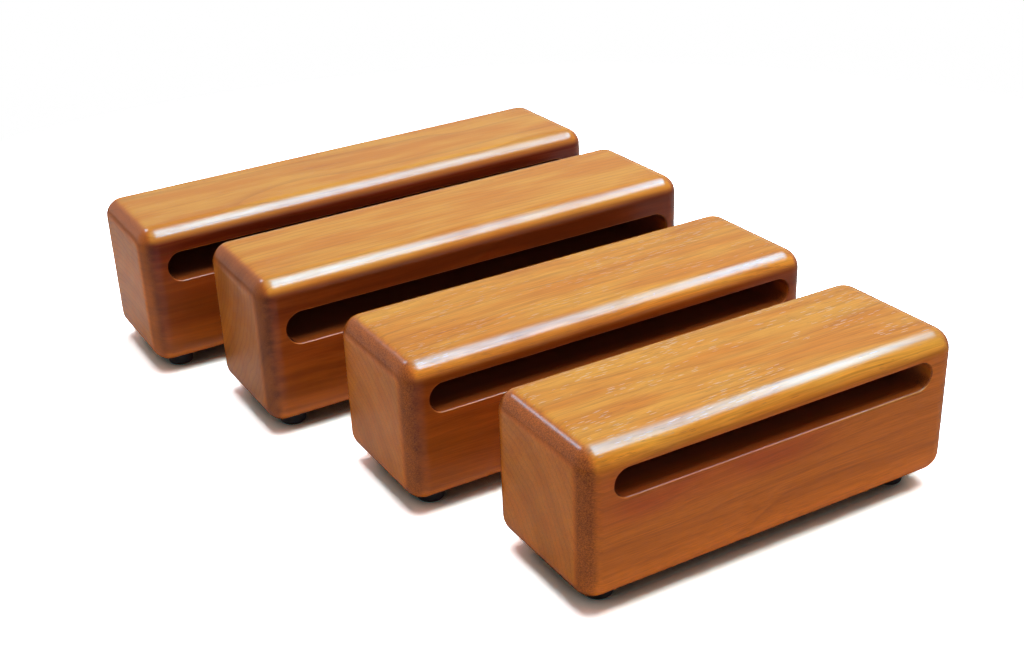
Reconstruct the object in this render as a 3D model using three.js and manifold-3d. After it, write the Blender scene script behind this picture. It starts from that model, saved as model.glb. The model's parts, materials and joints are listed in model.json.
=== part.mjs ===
// Set of four graduated wood blocks for orchestral percussion.
// Each block is one solid hardwood billet with rounded edges and ball corners. A resonance chamber
// is routed into its front face, close under the striking plate, with a softly rounded mouth.
// Each block stands on four tapered rubber feet, and a recessed washer and pan-head screw holds
// each foot. Block 1 is the shortest and stands in front, block 4 the longest at the back.
// Units are millimetres. +Z is up, +X runs along the blocks to the right and +Y to the back. The
// origin is on the floor, under the middle of the set.

import * as THREE from 'three';
import { LoftGeometry } from 'three/addons/geometries/LoftGeometry.js';
import { RoundedBoxGeometry } from 'three/addons/geometries/RoundedBoxGeometry.js';
import { mergeVertices } from 'three/addons/utils/BufferGeometryUtils.js';
import Module from 'manifold-3d';

const wasm = await Module();
wasm.setup();

// Billets
const billetDepth = 57;
const lowBilletHeight = 57;
const tallBilletHeight = 63;
const billetEdgeRadius = 8.2;
const length1 = 156;
const length2 = 179;
const length3 = 201;
const length4 = 224.5;

// Chambers: the height of each slot, the striking plate left above it and the walls at its ends
const chamberBackWall = 12;
const chamberMouthRadius = 1.2;
const chamberFloorRadius = 2;
const chamberHeight1 = 10.8;
const chamberHeight2 = 11.6;
const chamberHeight3 = 13.8;
const chamberHeight4 = 13.4;
const strikingPlate1 = 8.4;
const strikingPlate2 = 9;
const strikingPlate3 = 14.8;
const strikingPlate4 = 11.5;
const leftWall1 = 11.7;
const leftWall2 = 9.5;
const leftWall3 = 10.4;
const leftWall4 = 10.6;
const rightWall1 = 12.1;
const rightWall2 = 8.8;
const rightWall3 = 8.1;
const rightWall4 = 10.6;

// The row: the space between neighbours, and how far each left end stands out past the one before
const rowGap2 = 25.6;
const rowGap3 = 25.9;
const rowGap4 = 22.2;
const rowStep2 = 19;
const rowStep3 = 20.3;
const rowStep4 = 21.4;

const blockSizes = [
  {
    name: 'block_1',
    length: length1,
    height: lowBilletHeight,
    chamberHeight: chamberHeight1,
    strikingPlate: strikingPlate1,
    leftWall: leftWall1,
    rightWall: rightWall1,
    rowStep: 0,
    rowGap: 0,
    color: 0xb0642f,
  },
  {
    name: 'block_2',
    length: length2,
    height: lowBilletHeight,
    chamberHeight: chamberHeight2,
    strikingPlate: strikingPlate2,
    leftWall: leftWall2,
    rightWall: rightWall2,
    rowStep: rowStep2,
    rowGap: rowGap2,
    color: 0xa9592a,
  },
  {
    name: 'block_3',
    length: length3,
    height: tallBilletHeight,
    chamberHeight: chamberHeight3,
    strikingPlate: strikingPlate3,
    leftWall: leftWall3,
    rightWall: rightWall3,
    rowStep: rowStep3,
    rowGap: rowGap3,
    color: 0x99481f,
  },
  {
    name: 'block_4',
    length: length4,
    height: tallBilletHeight,
    chamberHeight: chamberHeight4,
    strikingPlate: strikingPlate4,
    leftWall: leftWall4,
    rightWall: rightWall4,
    rowStep: rowStep4,
    rowGap: rowGap4,
    color: 0x8f3f1b,
  },
];

// Rubber feet
const footHeight = 6;
const footTopRadius = 6;
const footBaseRadius = 5.2;
const footEdgeRadius = 1;
const footRecessRadius = 3.4;
const footRecessDepth = 3.2;

// Fixings
const washerRadius = 3.1;
const washerThickness = 0.8;
const screwShankRadius = 1.5;
const screwLength = 16;
const screwTipLength = 3;
const screwHeadRadius = 2.8;
const screwHeadHeight = 1.9;
const screwHeadRounding = 1;
const drillPointAngle = THREE.MathUtils.degToRad(118);

// Clearance of what passes through a hole, and the overrun that carries each cut past its face
const holeClearance = 0.3;
const cutOverrun = 2;

// Facets
const billetEdgeSteps = 4;
const chamberEndSteps = 8;
const chamberLipSteps = 3;
const filletSteps = 2;
const footSides = 16;
const screwSides = 10;
const washerSides = 12;

// Sizes worked out from the ones above
const footInset = billetEdgeRadius + footTopRadius;
const holeRadius = screwShankRadius + holeClearance;
const washerHeight = footRecessDepth - washerThickness;
const pilotDepth = washerHeight + screwLength - footHeight + holeClearance;

const rubber = new THREE.MeshStandardMaterial({ color: 0x1a1b1c, roughness: 0.6, metalness: 0 });
const steel = new THREE.MeshStandardMaterial({ color: 0xb4b6b9, roughness: 0.35, metalness: 1 });

function woodMaterial(color) {
  return new THREE.MeshStandardMaterial({ color, roughness: 0.35, metalness: 0 });
}

// A closed geometry as a solid that can be cut.
function toSolid(geometry) {
  const bare = new THREE.BufferGeometry();
  bare.setAttribute('position', geometry.attributes.position);
  bare.setIndex(geometry.index);
  const merged = mergeVertices(bare);
  return new wasm.Manifold(new wasm.Mesh({
    numProp: 3,
    vertProperties: new Float32Array(merged.attributes.position.array),
    triVerts: new Uint32Array(merged.index.array),
  }));
}

// A cut solid back as a geometry, flat shaded.
function toGeometry(solid) {
  const mesh = solid.getMesh();
  const shared = new THREE.BufferGeometry();
  shared.setAttribute('position', new THREE.BufferAttribute(mesh.vertProperties, 3));
  shared.setIndex(new THREE.BufferAttribute(mesh.triVerts, 1));
  const geometry = shared.toNonIndexed();
  geometry.computeVertexNormals();
  return geometry;
}

// Points of the arc that rounds a corner of a profile and touches both of its sides.
function fillet(before, corner, after, radius) {
  const toBefore = before.clone().sub(corner).normalize();
  const toAfter = after.clone().sub(corner).normalize();
  const halfAngle = toBefore.angleTo(toAfter) / 2;
  const centre = toBefore.clone().add(toAfter).normalize()
    .multiplyScalar(radius / Math.sin(halfAngle)).add(corner);
  const tangentLength = radius / Math.tan(halfAngle);
  const start = toBefore.multiplyScalar(tangentLength).add(corner).sub(centre);
  const end = toAfter.multiplyScalar(tangentLength).add(corner).sub(centre);
  const sweep = Math.atan2(start.cross(end), start.dot(end));
  return Array.from({ length: filletSteps + 1 }, (_, step) => (
    start.clone().rotateAround(new THREE.Vector2(), sweep * step / filletSteps).add(centre)
  ));
}

// A profile of radius and height, turned about the Z axis.
function turned(profile, sides) {
  return new THREE.LatheGeometry(profile, sides).rotateX(Math.PI / 2);
}

// One cross section of the chamber: two half circles joined by straight sides, upright at a depth.
function chamberSection(length, height, offset, depth) {
  const radius = height / 2 + offset;
  const arcCentre = (length - height) / 2;
  const points = [];
  for (const side of [1, -1]) {
    for (let step = 0; step <= chamberEndSteps; step++) {
      const angle = side * Math.PI / 2 - Math.PI * step / chamberEndSteps;
      points.push(new THREE.Vector3(
        side * arcCentre + radius * Math.cos(angle),
        depth,
        radius * Math.sin(angle),
      ));
    }
  }
  return points;
}

// The space that the router takes out of a billet: a bell mouth rounded into the front face,
// straight walls, and a floor with the small radius of the bit's corner.
function makeChamberCut({ length, height, chamberHeight, strikingPlate, leftWall, rightWall }) {
  const chamberLength = length - leftWall - rightWall;
  const chamberDepth = billetDepth - chamberBackWall;
  const section = (offset, depth) => chamberSection(chamberLength, chamberHeight, offset, depth);
  const sections = [section(chamberMouthRadius, -cutOverrun)];
  for (let step = 0; step <= chamberLipSteps; step++) {
    const angle = Math.PI / 2 * step / chamberLipSteps;
    sections.push(section(
      chamberMouthRadius * (1 - Math.sin(angle)),
      chamberMouthRadius * (1 - Math.cos(angle)),
    ));
  }
  for (let step = 0; step <= filletSteps; step++) {
    const angle = Math.PI / 2 * step / filletSteps;
    sections.push(section(
      -chamberFloorRadius * (1 - Math.cos(angle)),
      chamberDepth - chamberFloorRadius * (1 - Math.sin(angle)),
    ));
  }
  const cut = new LoftGeometry(sections, { capStart: true, capEnd: true });
  return cut.translate(
    leftWall + chamberLength / 2,
    0,
    height - strikingPlate - chamberHeight / 2,
  );
}

// A pilot hole drilled up into the underside, ending in the cone of the drill's point.
function makePilotCut(place) {
  const coneHeight = holeRadius / Math.tan(drillPointAngle / 2);
  const cut = turned([
    new THREE.Vector2(0, -cutOverrun),
    new THREE.Vector2(holeRadius, -cutOverrun),
    new THREE.Vector2(holeRadius, pilotDepth),
    new THREE.Vector2(0, pilotDepth + coneHeight),
  ], screwSides);
  return cut.translate(place.x, place.y, 0);
}

// The four places of a block's feet on its underside, from its front left corner.
function footPlaces({ length }) {
  const rows = { front: footInset, rear: billetDepth - footInset };
  const columns = { left: footInset, right: length - footInset };
  return Object.entries(rows).flatMap(([row, y]) => (
    Object.entries(columns).map(([column, x]) => ({ name: `${row}_${column}`, x, y }))
  ));
}

function makeBilletGeometry(block) {
  const { length, height } = block;
  const outside = new RoundedBoxGeometry(
    length, billetDepth, height, billetEdgeSteps, billetEdgeRadius,
  ).translate(length / 2, billetDepth / 2, height / 2);
  const cuts = [makeChamberCut(block), ...footPlaces(block).map(makePilotCut)];
  return toGeometry(cuts.reduce((solid, cut) => solid.subtract(toSolid(cut)), toSolid(outside)));
}

// A tapered bumper with a recess in its sole for the washer and the screw's head.
function makeFootGeometry() {
  const soleRim = new THREE.Vector2(footBaseRadius, 0);
  const recessRim = new THREE.Vector2(footRecessRadius, 0);
  const topRim = new THREE.Vector2(footTopRadius, footHeight);
  return turned([
    recessRim,
    ...fillet(recessRim, soleRim, topRim, footEdgeRadius),
    topRim,
    new THREE.Vector2(holeRadius, footHeight),
    new THREE.Vector2(holeRadius, footRecessDepth),
    new THREE.Vector2(footRecessRadius, footRecessDepth),
    recessRim,
  ], footSides);
}

function makeWasherGeometry() {
  return turned([
    new THREE.Vector2(holeRadius, 0),
    new THREE.Vector2(washerRadius, 0),
    new THREE.Vector2(washerRadius, washerThickness),
    new THREE.Vector2(holeRadius, washerThickness),
    new THREE.Vector2(holeRadius, 0),
  ], washerSides);
}

// A pan-head wood screw that points up. Its head hangs below the height of its seat.
function makeScrewGeometry() {
  const headCentre = new THREE.Vector2(0, -screwHeadHeight);
  const headCorner = new THREE.Vector2(screwHeadRadius, -screwHeadHeight);
  const headSeat = new THREE.Vector2(screwHeadRadius, 0);
  return turned([
    headCentre,
    ...fillet(headCentre, headCorner, headSeat, screwHeadRounding),
    headSeat,
    new THREE.Vector2(screwShankRadius, 0),
    new THREE.Vector2(screwShankRadius, screwLength - screwTipLength),
    new THREE.Vector2(0, screwLength),
  ], screwSides);
}

function addMesh(group, name, geometry, material, z) {
  const mesh = new THREE.Mesh(geometry, material);
  mesh.name = name;
  mesh.position.z = z;
  group.add(mesh);
}

const footGeometry = makeFootGeometry();
const washerGeometry = makeWasherGeometry();
const screwGeometry = makeScrewGeometry();

// One block on its feet, from the floor under its front left corner.
function makeBlock(block) {
  const group = new THREE.Group();
  addMesh(group, `${block.name}_body`, makeBilletGeometry(block), woodMaterial(block.color), footHeight);
  for (const place of footPlaces(block)) {
    const corner = new THREE.Group();
    corner.position.set(place.x, place.y, 0);
    addMesh(corner, `${block.name}_foot_${place.name}`, footGeometry, rubber, 0);
    addMesh(corner, `${block.name}_washer_${place.name}`, washerGeometry, steel, washerHeight);
    addMesh(corner, `${block.name}_screw_${place.name}`, screwGeometry, steel, washerHeight);
    group.add(corner);
  }
  return group;
}

// The row, from the front left corner of block 1, and then moved so that the origin is under its
// middle.
const row = new THREE.Group();
let rowLeft = 0;
let rowRight = 0;
let rowDepth = 0;
for (const block of blockSizes) {
  rowLeft -= block.rowStep;
  rowRight = Math.max(rowRight, rowLeft + block.length);
  rowDepth += block.rowGap;
  const group = makeBlock(block);
  group.position.set(rowLeft, rowDepth, 0);
  row.add(group);
  rowDepth += billetDepth;
}
row.position.set(-(rowLeft + rowRight) / 2, -rowDepth / 2, 0);

export default row;
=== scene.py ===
"""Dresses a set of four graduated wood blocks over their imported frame.

Every piece is a surface worked out with numpy from the frame's own sizes: the billets with their
routed chambers, the rubber feet, the washers and the threaded screws. Lengths are in metres, and the
wood's own figure is in millimetres.
"""

import json
from functools import partial

import bpy
import numpy as np
from bpy.props import FloatProperty, FloatVectorProperty, IntProperty, PointerProperty
from mathutils import Matrix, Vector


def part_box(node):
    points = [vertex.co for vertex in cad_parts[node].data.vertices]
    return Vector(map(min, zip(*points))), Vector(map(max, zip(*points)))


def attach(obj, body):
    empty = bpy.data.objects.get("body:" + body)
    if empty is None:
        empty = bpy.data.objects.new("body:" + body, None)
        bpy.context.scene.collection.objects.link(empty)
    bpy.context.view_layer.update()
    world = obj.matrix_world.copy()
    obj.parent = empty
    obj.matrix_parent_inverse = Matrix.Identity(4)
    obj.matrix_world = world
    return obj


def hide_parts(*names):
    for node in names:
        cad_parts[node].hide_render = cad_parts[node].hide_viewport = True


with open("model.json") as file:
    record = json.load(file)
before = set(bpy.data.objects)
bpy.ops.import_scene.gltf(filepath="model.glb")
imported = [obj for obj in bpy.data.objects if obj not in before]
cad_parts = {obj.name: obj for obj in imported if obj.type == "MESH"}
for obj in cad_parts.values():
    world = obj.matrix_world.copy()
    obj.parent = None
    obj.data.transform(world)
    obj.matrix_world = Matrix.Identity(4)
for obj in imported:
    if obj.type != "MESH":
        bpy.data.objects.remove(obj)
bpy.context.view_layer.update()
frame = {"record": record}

bl_info = {
    "name": "Wood block set",
    "version": (1, 0, 0),
    "blender": (4, 5, 0),
    "location": "3D View > Sidebar > Wood blocks",
    "description": "Builds four lacquered hardwood blocks with chambers, feet and fixings",
    "category": "Object",
}

BLOCKS = ("block_1", "block_2", "block_3", "block_4")
PLACES = ("front_left", "front_right", "rear_left", "rear_right")
MILLIMETRE = 0.001
QUARTER_TURN = np.pi / 2

# Points closer than this become one vertex
WELD_DISTANCE = 1e-7

# How far the frame's openings stay clear of the chambers' own walls
OPENING_CLEARANCE = 0.0002

# Shares of the way at which rows of a billet's mesh lie, close together beside its edges
CHAMBER_FLOOR_ROWS = (0, 0.5, 0.94, 1)
CHAMBER_WALL_ROWS = (0.01, 0.33, 0.66, 0.92, 0.985, 1)
FRONT_ROWS = (0.03, 0.3, 0.6, 0.85, 0.97, 1)
SIDE_ROWS = (0.012, 0.25, 0.5, 0.75, 0.988, 1)
BACK_ROWS = (0.015, 0.5, 1)

# Rows of the same mesh round each rounding
CHAMBER_CORNER_STEPS = 7
MOUTH_STEPS = 8
FRONT_EDGE_STEPS = 18
BACK_EDGE_STEPS = 16

# Columns round one end of a billet, and between its ends
EDGE_COLUMNS = 14
UNDER_COLUMNS = 6
OVER_COLUMNS = 8
MIDDLE_COLUMNS = 24

# Halvings in the search for the mouth's rim, and the least share of flat front that counts
HALVINGS = 40
LEAST_FLAT = 1e-3

# Pilot holes: how far they start under the billet, and where wall and point end past the screw's tip
PILOT_START = 0.002
PILOT_WALL_END = 0.0003
PILOT_POINT = 0.0014
PILOT_SIDES = 24

# An edge counts as sharp from this angle on
SHARP_EDGE = np.radians(50)

# Roundings of the feet and washers, and the sides that they are turned with
RECESS_LIP = 0.0004
SOFT_EDGE = 0.0003
FINE_EDGE = 0.0002
PRESSED_EDGE = 0.0001
RING_SIDES = 56

# Pan head: the flat's share of its radius, and the rises of flat and bend as shares of its height
SCREW_SIDES = 40
FLAT_ROWS = 15
BENT_ROWS = 7
HEAD_FLAT = 0.62
HEAD_CROWN = 0.06
HEAD_DROP = 0.5

# Under the head: its flat and rim as shares of its radius and height, and the neck as one of the crest
HEAD_UNDERSIDE = 0.99
HEAD_RIM = 0.02
NECK = 1.02

# Cross recess: depth, half width and reach of its arms, and how far both take to fade
RECESS_DEPTH = 0.0011
RECESS_ARM = (0.00034, 0.00012)
RECESS_REACH = (0.0016, 0.0011)

# Thread: where it starts, its rows, its ridge's share of the pitch, its run-in and the tip's fullness
THREAD_START = 0.0001
THREAD_ROWS = 170
RIDGE_SHARE = 0.42
RUN_IN = 0.0012
TIP_POWER = 0.8

# Noises: scale on each axis, detail and roughness. The wood's are per millimetre, grain along X
NOISES = {
    "wander": ((0.011, 0.03, 0.03), 1.0, 0.5),
    "wobble": ((0.004, 0.05, 0.05), 1.0, 0.5),
    "fibre": ((0.055, 2.1, 2.1), 3.0, 0.62),
    "streak": ((0.020, 0.80, 0.80), 3.0, 0.62),
    "line": ((0.007, 1.1, 1.1), 1.0, 0.5),
    "patch": ((0.018, 0.11, 0.11), 3.0, 0.55),
    "drift": ((0.030, 0.09, 0.09), 2.0, 0.6),
    "broad band": ((0.010, 0.21, 0.21), 3.0, 0.6),
    "stipple": ((0.9, 2.7, 2.7), 2.0, 0.7),
    "smoky": ((0.05, 0.05, 0.05), 1.0, 0.5),
    "ripple": ((0.02, 0.12, 0.12), 1.0, 0.5),
    "cloud": ((0.03, 0.09, 0.09), 2.0, 0.5),
    "dust": ((420.0, 420.0, 420.0), 3.0, 0.6),
    "tooth": ((4000.0, 4000.0, 4000.0), 3.0, 0.6),
    "mottle": ((900.0, 900.0, 900.0), 3.0, 0.6),
    "scratch": ((500.0, 7000.0, 2500.0), 2.0, 0.5),
}

# Distance in metres and strength of the fixings' relief
RELIEFS = {"tooth": (0.00003, 0.6), "scratch": (0.00001, 0.5)}

# Where each effect starts and ends on the value that it follows, and the values that it goes between
RAMPS = {
    # on how far a face looks along the grain
    "end": (0.25, 0.85),
    "off the end": (0.45, 0.85, 1.0, 0.0),
    "pores off the end": (0.10, 0.45, 1.0, 0.0),
    "red towards the end": (0.16, 0.56),
    "flat end less red": (0.96, 0.999, 1.0, 0.78),
    "bend begins": (0.26, 0.62),
    "bend ends": (0.90, 0.99, 1.0, 0.0),
    # on how far a face looks up
    "upright": (0.14, 0.57, 1.0, 0.0),
    # painted highlight: pores on top faces painted pale in place of light on their walls
    "glint on top": (0.55, 0.95),
    # painted light on the long top edges, lightening their roundings as though lit
    "edge light begins": (0.20, 0.48),
    "edge light ends": (0.68, 0.88, 1.0, 0.0),
    # on noise or on a place in a ring or pore
    "ring start": (0.0, 0.06, 1.0, 0.0),
    "end band": (0.38, 0.60, 0.12, -0.06),
    "drift": (0.44, 0.60, -0.36, 0.62),
    "pore wall": (0.20, 0.36, 1.0, 0.0),
    "pore stain": (0.0, 1.0, 0.40, 0.16),
    "patch": (0.36, 0.66),
    "streak": (0.46, 0.76),
    "line": (0.60, 0.70, 0.0, 0.18),
    "fibre": (0.25, 0.75, -0.14, 0.14),
    "broad band": (0.34, 0.64, 0.26, -0.36),
    "stipple": (0.36, 0.64, -0.24, 0.20),
    "gloss": (0.2, 0.8, 0.16, 0.24),
    # on metres from the front, the chamber's lip or roof, and on shares of the blush's reach
    "front": (0.0005, 0.006, 1.0, 0.0),
    # painted shade deeper into the chamber
    "sunk": (0.0004, 0.011, 0.25, 1.0),
    "under the lip": (-0.014, -0.004),
    "under the roof": (-0.004, 0.001, 1.0, 0.0),
    "blush reach": (0.5, 1.1, 1.0, 0.0),
    "blush cloud": (0.25, 0.65),
    # on shares of a block's height
    # painted gap shade on the upright faces, deeper towards the top
    "low gap shade": (0.05, 0.32, 0.35, 0.72),
    "high gap shade": (0.60, 0.80, 0.0, 0.28),
    # painted light from the floor on the front's bottom, fading upwards
    "painted_floor_light": (0.06, 0.28),
    # on the rubber's dust and the zinc's mottle
    "dust tint": (0.45, 0.75, 0.0, 0.5),
    "dust roughness": (0.3, 0.7, 0.48, 0.66),
    "mottle tint": (0.35, 0.7, 0.0, 0.35),
    "mottle roughness": (0.3, 0.7, 0.24, 0.42),
    # on places of the floor, how open it is, and directions in the room
    # the floor in gloss, painted dim in front and paler behind as a shade of the room
    "floor in gloss": (-0.30, 0.10, 0.12, 0.42),
    # painted contact shade: the floor darker where it is less open, and less red there
    "painted contact shade": (0.165, 0.45, 0.52, 3.3),
    "painted contact red": (0.36, 0.56, 0.74, 1.0),
    "far floor": (0.28, 0.50),
    "backdrop in gloss": (-0.15, 0.40, 0.36, 0.55),
    "sky": (0.10, 0.60, 1.4, 0.8),
    # on the sheen's own places along X, and how far they are from its middle along Y
    "sheen across": (0.30, 1.05, 1.0, 0.15),
    "sheen along": (0.10, 0.50, 1.0, 0.40),
}

# A chamber's inside, which takes a painted shade, in metres from its left, the front and its lip to its
# right, floor and roof
INSIDE_LOW = (-0.008, 0.0003, -0.002)
INSIDE_HIGH = (0.008, 0.003, 0.002)

# The grain's wander in millimetres, the rings' wobble and how late in a ring its dark wood comes
GRAIN_WANDER = 7.0
RING_WOBBLE = 2.0
RING_LATENESS = 6.0
END_BAND_SCALE = 0.055

# Pores per millimetre, the shares of them that are missing and that get no painted highlight, and the
# strength of that painted highlight, a pale colour in pores on top that stands in for light
PORE_SCALE = (0.160, 2.2, 2.3)
PORE_MISSING = 0.68
PORE_WITHOUT_GLINT = 0.35
PAINTED_GLINT_SHARE = 0.50

# Up to where a face counts as looking up, for the painted light of golden tops against redder, shaded
# upright faces, how much further that is under the deepest painted gap shade, and that shade's power
UP_START = -0.05
UP_END = 0.62
UP_UNDER_GAP_SHADE = 0.36
GAP_SHADE_POWER = 4.0

# Shares of umber in the streaks of upright faces and added on top, and on bends, and the bends' smoky
# darkening
STREAK_SHARE = 0.10
STREAK_ON_TOP = 0.22
BEND_SHARE = 0.50
BEND_SMOKE = -0.36

# Relief in millimetres
FIBRE_RELIEF = 0.006
PORE_RELIEF = -0.018
PORE_RELIEF_END = 0.015
RIPPLE_RELIEF = 0.018

COLOURS = ("Golden", "Amber", "Russet_and_side_shade", "Cherry", "Deep", "Umber", "Pore", "Painted_glint", "Chamber_shade")
FIGURE_DEFAULTS = {
    "Stain": 0.0, "End tone": 1.0, "Blush": 0.0, "Inside": 0.0, "Depth": 0.0, "Lift": 0.0,
    "Ring spacing": 3.1, "Ring strength": 0.26, "Band strength": 0.0, "Painted edge light": 0.28,
    "Pore strength": 1.0, "Streak strength": 1.0, "Bend strength": 1.0,
}

# Each block's own figure: pith, turn, blush, and strengths in the order of their names
# Painted light and shade among the strengths: the first darkens the rear blocks' upright faces as a painted
# shade of the gaps, the second lightens the front's bottom as painted light from the floor, and the third
# lightens the long top edges as painted light
STRENGTHS = (
    "Stain", "Lift", "Painted edge light", "Band strength",
    "End tone", "Pore strength", "Streak strength", "Bend strength",
)
FIGURES = {
    "block_1": (
        (40.0, 88.0, -2.0), (0.010, 0.012), (0.0, 0.055, 0.9), (0.0, 0.34, 0.28, 0.12, 1.10, 1.0, 0.9, 1.5),
    ),
    "block_2": (
        (400.0, -2.0, 8.0), (-0.006, -0.016), (-0.01, 0.07, 0.45),
        (0.72, 0.10, 0.36, 0.4, 1.12, 0.7, 1.0, 1.2),
    ),
    "block_3": (
        (900.0, -95.0, -70.0), (0.014, 0.006), (-0.02, 0.08, 0.5),
        (0.86, 0.10, 0.20, 0.6, 0.92, 0.12, 0.3, 0.35),
    ),
    "block_4": (
        (1500.0, -120.0, 60.0), (-0.010, 0.010), (-0.03, 0.09, 0.6),
        (1.0, 0.10, 0.05, 0.65, 1.3, 0.15, 0.3, 0.35),
    ),
}

# Lamps: place, width and depth
LAMPS = {
    "Overhead_softbox": ((0.21, -0.05, 1.06), 1.08, 0.98),
    "Overhead_sheen": ((0.515, -0.16, 1.06), 0.87, 0.98),
    "Rear_sheen": ((-0.38, 0.92, 1.06), 0.22, 0.55),
}
SHEEN_COLOUR = (0.34, 0.73, 1.0)
SHEEN_MIDDLE = -0.16

# Camera: place, azimuth, elevation and roll in degrees, shift and clipping
CAMERA_SPOT = (-0.25866, -0.46831, 0.29489)
CAMERA_ANGLES = (-25.975, 26.223, -3.985)
CAMERA_SHIFT = (0.0915, 0.0036)
CAMERA_CLIP = (0.01, 50.0)

FLOOR_GREY = 0.90
# Reach and samples of the occlusion that paints the floor's contact shade
PAINTED_SHADE_DISTANCE = 0.03
PAINTED_SHADE_SAMPLES = 24
WHITE = (1, 1, 1, 1)


def a_length(name, description, default):
    return FloatProperty(
        name=name, description=description, default=default, min=0.0,
        subtype="DISTANCE", unit="LENGTH", precision=5,
    )


def a_colour(name, description, default):
    return FloatVectorProperty(
        name=name, description=description, default=default, size=3, min=0.0, max=1.0, subtype="COLOR",
    )


def a_power(name, description, default):
    return FloatProperty(
        name=name, description=description, default=default, min=0.0, subtype="POWER", unit="POWER",
    )


class BilletSizes(bpy.types.PropertyGroup):
    """Roundings of the billets and of the chambers routed into them."""

    edge_radius: a_length("Edge radius", "Rounding of every outer edge and corner", 0.0082)
    mouth_radius: a_length("Mouth radius", "Rounding where the chamber meets the front", 0.0006)
    floor_radius: a_length("Floor radius", "Corner left by the cutter at the chamber's back", 0.002)
    pilot_radius: a_length("Pilot radius", "Radius of the holes for the screws", 0.0018)
    end_columns: IntProperty(
        name="End columns", description="Columns of the mesh on each end face", default=26, min=8, max=80,
    )


class FixingSizes(bpy.types.PropertyGroup):
    """Sizes of the feet, washers and screws that the frame's boxes do not give."""

    foot_base_radius: a_length("Foot base radius", "Radius of a foot's sole before rounding", 0.0052)
    foot_edge_radius: a_length("Foot edge radius", "Rounding of a foot's sole", 0.001)
    foot_recess_radius: a_length("Recess radius", "Radius of the recess for the screw", 0.0034)
    foot_recess_depth: a_length("Recess depth", "Depth of the recess from the sole", 0.0032)
    hole_radius: a_length("Hole radius", "Radius of the hole for the screw", 0.0018)
    screw_head_height: a_length("Head height", "Height of the screw's pan head", 0.0019)
    screw_head_radius: a_length("Head radius", "Radius of the screw's pan head", 0.0028)
    screw_crest_radius: a_length("Crest radius", "Radius of the thread's crest", 0.0015)
    screw_core_radius: a_length("Core radius", "Radius of the screw between its threads", 0.00102)
    screw_pitch: a_length("Pitch", "Rise of the thread in one turn", 0.0013)
    screw_tip_length: a_length("Tip length", "Length of the screw's tapered tip", 0.003)


class WoodColours(bpy.types.PropertyGroup):
    """Colours of the lacquered hardwood and of the fixings."""

    golden: a_colour("Golden", "Palest wood of the top faces", (0.70, 0.320, 0.031))
    amber: a_colour("Amber", "Body colour of the top faces", (0.63, 0.222, 0.010))
    # Upright faces take this redder colour as painted shade, since less light falls on them than on the
    # tops; the ends and the chambers take it too
    russet_and_side_shade: a_colour("Russet_and_side_shade", "Redder wood on the upright faces", (0.63, 0.150, 0.011))
    cherry: a_colour("Cherry", "Reddest wood, in a blush under the chamber", (0.50, 0.080, 0.010))
    # Deepest colour of the painted shade that darkens the rear blocks' upright faces, most towards the top
    deep: a_colour("Deep", "Deepest stain of the fronts and backs", (0.18, 0.020, 0.003))
    umber: a_colour("Umber", "Darkest streaks and the growth rings", (0.26, 0.062, 0.010))
    # Painted highlight: a pale colour put in pores on top faces in place of light
    painted_glint: a_colour("Painted_glint", "Light caught in the open pores", (1.0, 0.77, 0.48))
    pore: a_colour("Pore", "Stain left in the open pores", (0.20, 0.060, 0.015))
    # Painted shade inside the chambers
    chamber_shade: a_colour("Chamber_shade", "Dark wood inside the chambers", (0.27, 0.085, 0.035))
    rubber: a_colour("Rubber", "Moulded rubber of the feet", (0.020, 0.022, 0.026))
    dust: a_colour("Dust", "Dust on the rubber", (0.05, 0.052, 0.056))
    zinc: a_colour("Zinc", "Plating of the screws and washers", (0.66, 0.67, 0.69))
    dull_zinc: a_colour("Dull zinc", "Mottle in the plating", (0.50, 0.49, 0.46))


class StudioSettings(bpy.types.PropertyGroup):
    """Light and floor of the studio."""

    softbox_power: a_power("Softbox power", "Power of the softbox overhead", 14.3)
    sheen_power: a_power("Sheen power", "Power of the lamp seen only in the lacquer", 158.0)
    rear_power: a_power("Rear power", "Power of the lamp behind, seen only in the lacquer", 4.0)
    sky_level: FloatProperty(name="Sky level", description="Brightness of the room", default=0.13, min=0.0)
    floor_size: a_length("Floor size", "Side of the square floor", 12.0)
    lens: FloatProperty(
        name="Lens", description="Focal length of the camera", default=51.01, min=1.0,
        subtype="DISTANCE_CAMERA", unit="CAMERA",
    )


# Meshes


def points_of(*parts):
    """Points whose coordinates are the parts, each a number or an array."""
    return np.stack(np.broadcast_arrays(*parts), axis=-1)


def skin(name, *grids):
    """Mesh of one or more grids of points, each closed by its last column meeting its first.

    Each cell of a grid is a face. Points that coincide become one vertex, so a cell with two equal
    corners becomes a triangle, and a cell squeezed to a line is left out.
    """
    vertices = []
    faces = []
    for grid in grids:
        rows, columns = grid.shape[:2]
        points = grid.reshape(-1, 3)
        places = np.round(points / WELD_DISTANCE).astype(np.int64)
        _, first, merged = np.unique(places, axis=0, return_index=True, return_inverse=True)
        here = merged.reshape(rows, columns) + len(vertices)
        beside = np.roll(here, -1, axis=1)
        cells = np.stack([here[:-1], here[1:], beside[1:], beside[:-1]], axis=-1).reshape(-1, 4)
        kept = cells != np.roll(cells, -1, axis=1)
        corners = kept.sum(axis=1)
        threes = corners == 3
        faces += cells[corners == 4].tolist() + cells[threes][kept[threes]].reshape(-1, 3).tolist()
        vertices += points[first].tolist()
    mesh = bpy.data.meshes.new(name)
    mesh.from_pydata(vertices, [], faces)
    mesh.validate()
    mesh.shade_smooth()
    return mesh


def unit(rows):
    """Rows scaled to length one."""
    return rows / np.linalg.norm(rows, axis=1, keepdims=True)


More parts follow.
